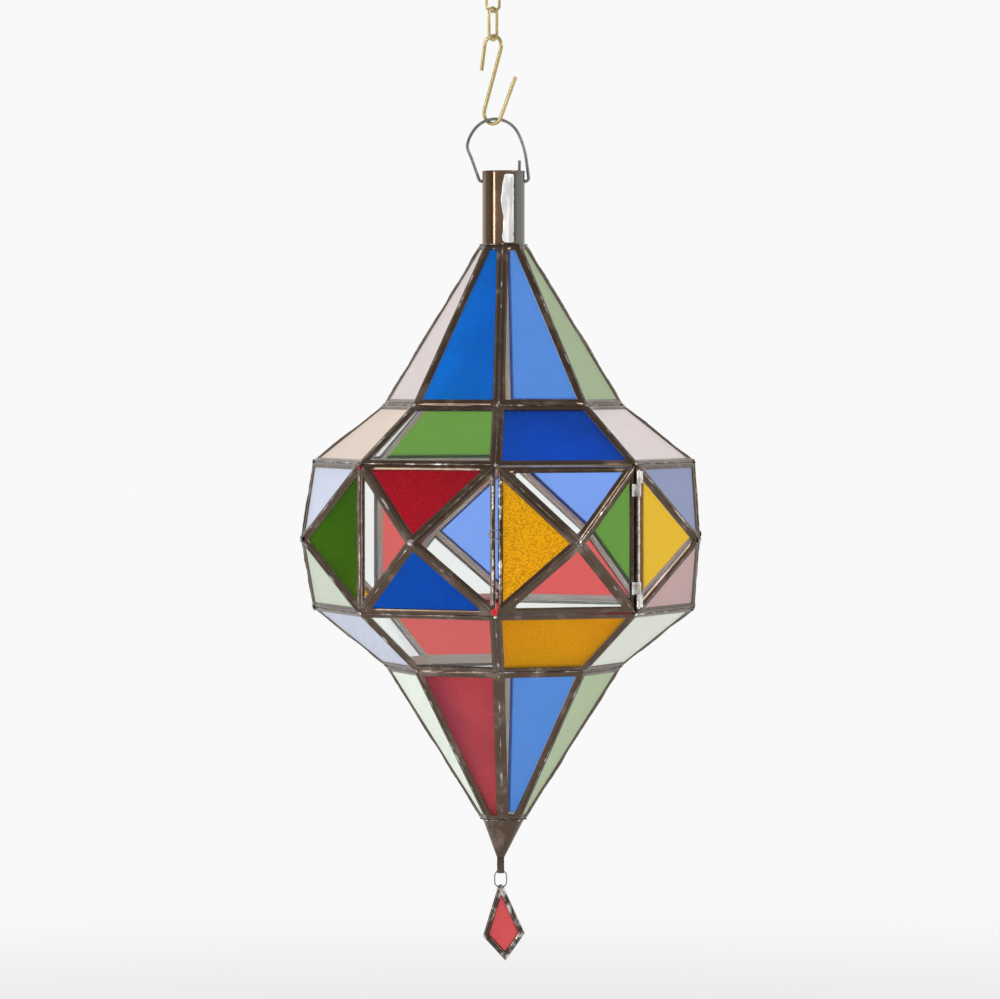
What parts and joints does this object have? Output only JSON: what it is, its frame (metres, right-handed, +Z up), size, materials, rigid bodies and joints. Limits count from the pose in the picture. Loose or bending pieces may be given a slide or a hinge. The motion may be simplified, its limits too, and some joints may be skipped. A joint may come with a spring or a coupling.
{
  "type": "hanging glass lantern",
  "caption": "Hanging candle lantern of soldered tin cames and coloured glass panes: faceted body with a hinged door, neck tube, wire bail, S-hook, chain links and a glass drop.",
  "frame": {"origin": "inside top of the upper chain link, where the lantern hangs", "axes": "+Z up; -Y towards the front edge of the octagon, where the door latches; +X to the right seen from the front"},
  "size_m": [0.2458, 0.2458, 0.6141],
  "materials": {
    "brass": "polished brass wire",
    "cup_tin": "dull tin",
    "glass_amber": "amber hammered cathedral glass",
    "glass_blue": "deep blue cathedral glass",
    "glass_clear": "clear float glass",
    "glass_green": "green cathedral glass",
    "glass_mauve": "mauve cathedral glass",
    "glass_pale_blue": "pale blue cathedral glass",
    "glass_pale_green": "pale green cathedral glass",
    "glass_pale_pink": "pale pink cathedral glass",
    "glass_peach": "peach cathedral glass",
    "glass_red": "red hammered cathedral glass",
    "glass_slate": "slate blue cathedral glass",
    "neck_tin": "glossy bronze patina on rolled tin",
    "solder": "bright solder",
    "steel_wire": "grey drawn wire",
    "tin_patina": "dark bronze patina on folded tin"
  },
  "bodies": {
    "upper_link": {"upper_chain_link": "brass"},
    "lower_link": {"lower_chain_link": "brass"},
    "hook": {"s_hook": "brass"},
    "bail": {"bail": "steel_wire"},
    "door": {"door_cames": "tin_patina", "door_top_pane": "glass_clear", "door_hinge_side_pane": "glass_clear", "door_bottom_pane": "glass_clear", "door_latch_side_pane": "glass_amber", "hinge_door_knuckles": "solder", "latch_staple": "steel_wire"},
    "latch": {"latch_ring": "steel_wire"},
    "drop_ring": {"pendant_ring": "steel_wire"},
    "drop": {"drop_came": "tin_patina", "drop_pane": "glass_red"},
    "lantern": {"candle_cup": "cup_tin", "drop_tab": "tin_patina", "hinge_frame_knuckles": "solder", "hinge_pin": "solder", "lower_band_amber_panes": "glass_amber", "lower_band_cames": "tin_patina", "lower_band_clear_panes": "glass_clear", "lower_band_pale_blue_panes": "glass_pale_blue", "lower_band_pale_green_panes": "glass_pale_green", "lower_band_red_panes": "glass_red", "lower_cone_amber_panes": "glass_amber", "lower_cone_blue_panes": "glass_blue", "lower_cone_cames": "tin_patina", "lower_cone_clear_panes": "glass_clear", "lower_cone_pale_green_panes": "glass_pale_green", "lower_cone_red_panes": "glass_red", "middle_amber_panes": "glass_amber", "middle_blue_panes": "glass_blue", "middle_cames": "tin_patina", "middle_clear_panes": "glass_clear", "middle_green_panes": "glass_green", "middle_mauve_panes": "glass_mauve", "middle_pale_blue_panes": "glass_pale_blue", "middle_pale_green_panes": "glass_pale_green", "middle_red_panes": "glass_red", "middle_slate_panes": "glass_slate", "neck_tube": "neck_tin", "tip_cone": "tin_patina", "upper_band_blue_panes": "glass_blue", "upper_band_cames": "tin_patina", "upper_band_clear_panes": "glass_clear", "upper_band_green_panes": "glass_green", "upper_band_pale_pink_panes": "glass_pale_pink", "upper_band_peach_panes": "glass_peach", "upper_band_red_panes": "glass_red", "upper_cone_amber_panes": "glass_amber", "upper_cone_blue_panes": "glass_blue", "upper_cone_cames": "tin_patina", "upper_cone_clear_panes": "glass_clear", "upper_cone_pale_green_panes": "glass_pale_green", "upper_cone_pale_pink_panes": "glass_pale_pink", "upper_cone_red_panes": "glass_red"}
  },
  "joints": [
    {"name": "lower_link_swing", "type": "hinge", "parent": "upper_link", "child": "lower_link", "pos_m": [0, 0, -0.01915], "axis": [1, 0, 0], "range_deg": [-25, 25]},
    {"name": "hook_swing", "type": "hinge", "parent": "lower_link", "child": "hook", "pos_m": [0, 0, -0.03685], "axis": [1, 0, 0], "range_deg": [-20, 20]},
    {"name": "bail_swing", "type": "hinge", "parent": "hook", "child": "bail", "pos_m": [0, 0, -0.0861], "axis": [1, 0, 0], "range_deg": [-20, 20]},
    {"name": "lantern_swing", "type": "hinge", "parent": "bail", "child": "lantern", "pos_m": [0.0066, 0, -0.1249], "axis": [1, 0, 0], "range_deg": [-40, 40]},
    {"name": "door_hinge", "type": "hinge", "parent": "lantern", "child": "door", "pos_m": [0.09234, -0.08574, -0.3469], "axis": [0, 0, 1], "range_deg": [0, 110]},
    {"name": "latch_turn", "type": "hinge", "parent": "door", "child": "latch", "pos_m": [0.00955, -0.12105, -0.3416], "axis": [0, 0, 1], "range_deg": [0, 100]},
    {"name": "drop_ring_swing", "type": "hinge", "parent": "lantern", "child": "drop_ring", "pos_m": [0.0048, 0, -0.55573], "axis": [1, 0, 0], "range_deg": [-40, 40]},
    {"name": "drop_swing", "type": "hinge", "parent": "drop_ring", "child": "drop", "pos_m": [0.0048, 0, -0.56652], "axis": [1, 0, 0], "range_deg": [-40, 40]}
  ]
}
